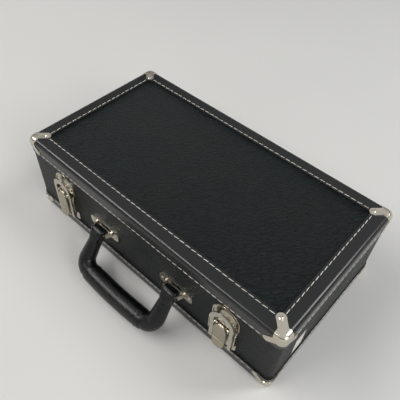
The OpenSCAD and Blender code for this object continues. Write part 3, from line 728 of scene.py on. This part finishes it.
def build_egg_foam():
    """The lid's foam, cut in rows of soft peaks that press on the figures."""
    lo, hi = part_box("lid_foam")
    nx, ny = round((hi.x - lo.x) / EGG_STEP), round((hi.y - lo.y) / EGG_STEP)
    points = []
    for i in range(nx + 1):
        for j in range(ny + 1):
            x = lo.x + (hi.x - lo.x) * i / nx
            y = lo.y + (hi.y - lo.y) * j / ny
            u = 2 * math.pi * (x - lo.x) / EGG_WAVE
            v = 2 * math.pi * (y - lo.y) / EGG_WAVE
            hollow = 1 - 0.5 * (math.sin(u) * math.sin(v) + 1)  # 0 on a peak
            z = lo.z + EGG_OFF + EGG_PEAK * hollow
            z += EGG_ROUGH * noise.noise(Vector((x, y, 0)) * EGG_ROUGH_SCALE)
            points.append(Vector((x, y, z)))
    faces = []
    row = ny + 1
    for i in range(nx):
        for j in range(ny):
            a = i * row + j
            faces.append((a, a + 1, a + row + 1, a + row))
    # the cut sides and the glued back
    edge = (
        [i * row for i in range(nx + 1)]
        + [nx * row + j for j in range(1, ny + 1)]
        + [i * row + ny for i in range(nx - 1, -1, -1)]
        + [j for j in range(ny - 1, 0, -1)]
    )
    back = len(points)
    points += [Vector((points[k].x, points[k].y, hi.z)) for k in edge]
    n = len(edge)
    for k in range(n):
        q = (k + 1) % n
        faces.append((edge[k], edge[q], back + q, back + k))
    faces.append(tuple(range(back, back + n)))
    obj = mesh_object("lid_egg_foam", points, faces, "foam", "case_lid")
    tidy(obj)
    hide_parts("lid_foam")


build_tray()
build_floor_pad()
build_egg_foam()

# ---------------------------------------------------------------- stage

FLOOR_HALF = 6
FADE_FROM, FADE_TO = 0.9, 3.0  # where the floor runs out into the backdrop
WORLD_LIGHT = 0.22  # strength of the even light
WORLD_TINT = (0.93, 0.96, 1, 1)
BACKDROP = 0.84  # brightness of the pale wall
GAP = 0.08  # of the dark band above it, which gives the metal its contrast
CEILING = 0.68
# the sine of the height above the horizon, and the brightness there
SKY = ((0.24, BACKDROP), (0.38, GAP), (0.5, GAP), (0.66, CEILING))


def backdrop_rays(tree):
    """1 for camera, glossy and transmission rays, which see the pale backdrop."""
    rays = tree.nodes.new("ShaderNodeLightPath")
    seen = rays.outputs["Is Camera Ray"]
    for kind in ("Is Glossy Ray", "Is Transmission Ray"):
        either = tree.nodes.new("ShaderNodeMath")
        either.operation = "MAXIMUM"
        tree.links.new(seen, either.inputs[0])
        tree.links.new(rays.outputs[kind], either.inputs[1])
        seen = either.outputs[0]
    return seen


def floor_paint(name):
    """Pale paint that runs out into an even backdrop well away from the case."""
    m = Nodes(name)
    patches = m.noise(scale=3, detail=2)
    m.wire(Base_Color=m.ramp(patches, [(0.3, rgb("dfdedb")), (0.7, rgb("e3e2df"))]))
    m.set(Roughness=0.65, Specular_IOR_Level=0.2)
    away = m.add("ShaderNodeVectorMath", operation="LENGTH")
    m.link(m.place, away.inputs[0])
    far = m.add("ShaderNodeMapRange", interpolation_type="SMOOTHSTEP")
    far.inputs["From Min"].default_value = FADE_FROM
    far.inputs["From Max"].default_value = FADE_TO
    m.link(away.outputs["Value"], far.inputs["Value"])
    glow = m.add("ShaderNodeEmission", Color=(BACKDROP, BACKDROP, BACKDROP, 1))
    mix = m.add("ShaderNodeMixShader")
    share = m.math("MULTIPLY", far.outputs["Result"], backdrop_rays(m.tree))
    m.link(share, mix.inputs[0])
    m.link(m.shader.outputs[0], mix.inputs[1])
    m.link(glow.outputs[0], mix.inputs[2])
    m.link(mix.outputs[0], m.tree.nodes["Material Output"].inputs["Surface"])
    return m.mat


def studio_world():
    """An even light; cameras and gloss see a pale wall, a dark gap and a ceiling."""
    world = bpy.data.worlds.new("studio")
    world.use_nodes = True
    tree = world.node_tree
    light = tree.nodes["Background"]
    light.inputs["Color"].default_value = WORLD_TINT
    light.inputs["Strength"].default_value = WORLD_LIGHT
    backdrop = tree.nodes.new("ShaderNodeBackground")
    where = tree.nodes.new("ShaderNodeTexCoord")
    height = tree.nodes.new("ShaderNodeSeparateXYZ")
    fade = tree.nodes.new("ShaderNodeValToRGB")
    fade.color_ramp.interpolation = "EASE"
    while len(fade.color_ramp.elements) < len(SKY):
        fade.color_ramp.elements.new(0.5)
    for end, (at, level) in zip(fade.color_ramp.elements, SKY):
        end.position = at
        end.color = (level, level, level, 1)
    mix = tree.nodes.new("ShaderNodeMixShader")
    for a, b in (
        (where.outputs["Generated"], height.inputs[0]),
        (height.outputs["Z"], fade.inputs["Fac"]),
        (fade.outputs["Color"], backdrop.inputs["Color"]),
        (backdrop_rays(tree), mix.inputs[0]),
        (light.outputs[0], mix.inputs[1]),
        (backdrop.outputs[0], mix.inputs[2]),
        (mix.outputs[0], tree.nodes["World Output"].inputs["Surface"]),
    ):
        tree.links.new(a, b)
    return world


def area_light(name, place, size, power, colour):
    """A rectangular light that points at the middle of the case's footprint."""
    lamp = bpy.data.lights.new(name, "AREA")
    lamp.shape = "RECTANGLE"
    lamp.size, lamp.size_y = size
    lamp.energy = power
    lamp.color = colour
    obj = bpy.data.objects.new(name, lamp)
    obj.location = place
    ray = Vector((0, CY, 0)) - Vector(place)
    obj.rotation_euler = ray.to_track_quat("-Z", "Y").to_euler()
    scene.collection.objects.link(obj)


scene = bpy.context.scene
scene.view_settings.view_transform = "Standard"
scene.world = studio_world()

floor = bpy.data.meshes.new("floor")
ends = ((-1, -1), (1, -1), (1, 1), (-1, 1))
corners = [(x * FLOOR_HALF, y * FLOOR_HALF, 0) for x, y in ends]
floor.from_pydata(corners, [], [(0, 1, 2, 3)])
floor_obj = bpy.data.objects.new("floor", floor)
scene.collection.objects.link(floor_obj)
floor.materials.append(floor_paint("pale_floor"))

# name, place, size, watts and colour
for lamp in (
    ("front_strip", (-0.95, -0.8, 1.5), (2.0, 0.25), 20, (1, 0.985, 0.96)),
    ("right_strip", (0.95, 1.0, 1.6), (0.5, 1.0), 13, WHITE),
    ("fill", (1.7, -0.3, 1.1), (0.8, 0.8), 10, WHITE),
):
    area_light(*lamp)

# ---------------------------------------------------------------- camera

LENGTH = 2 * LX
AZIMUTH, ELEVATION, ROLL = math.radians(39.88), math.radians(48.8), math.radians(3.2)
AIM = Vector((-0.0943 * LENGTH, CY + 0.1145 * LENGTH, 0))
DISTANCE = 1.7147 * LENGTH
FOCAL, SENSOR = 41.93, 36  # mm

back = Vector(
    (
        math.sin(AZIMUTH) * math.cos(ELEVATION),
        -math.cos(AZIMUTH) * math.cos(ELEVATION),
        math.sin(ELEVATION),
    )
)
right = (-back).cross(UP).normalized()
up = right.cross(-back)
turned_right = right * math.cos(ROLL) + up * math.sin(ROLL)
turned_up = up * math.cos(ROLL) - right * math.sin(ROLL)
camera = bpy.data.cameras.new("camera")
camera.lens = FOCAL
camera.sensor_width = SENSOR
camera_obj = bpy.data.objects.new("camera", camera)
camera_obj.matrix_world = Matrix(
    (
        (turned_right.x, turned_up.x, back.x, AIM.x + back.x * DISTANCE),
        (turned_right.y, turned_up.y, back.y, AIM.y + back.y * DISTANCE),
        (turned_right.z, turned_up.z, back.z, AIM.z + back.z * DISTANCE),
        (0, 0, 0, 1),
    )
)
scene.collection.objects.link(camera_obj)
scene.camera = camera_obj
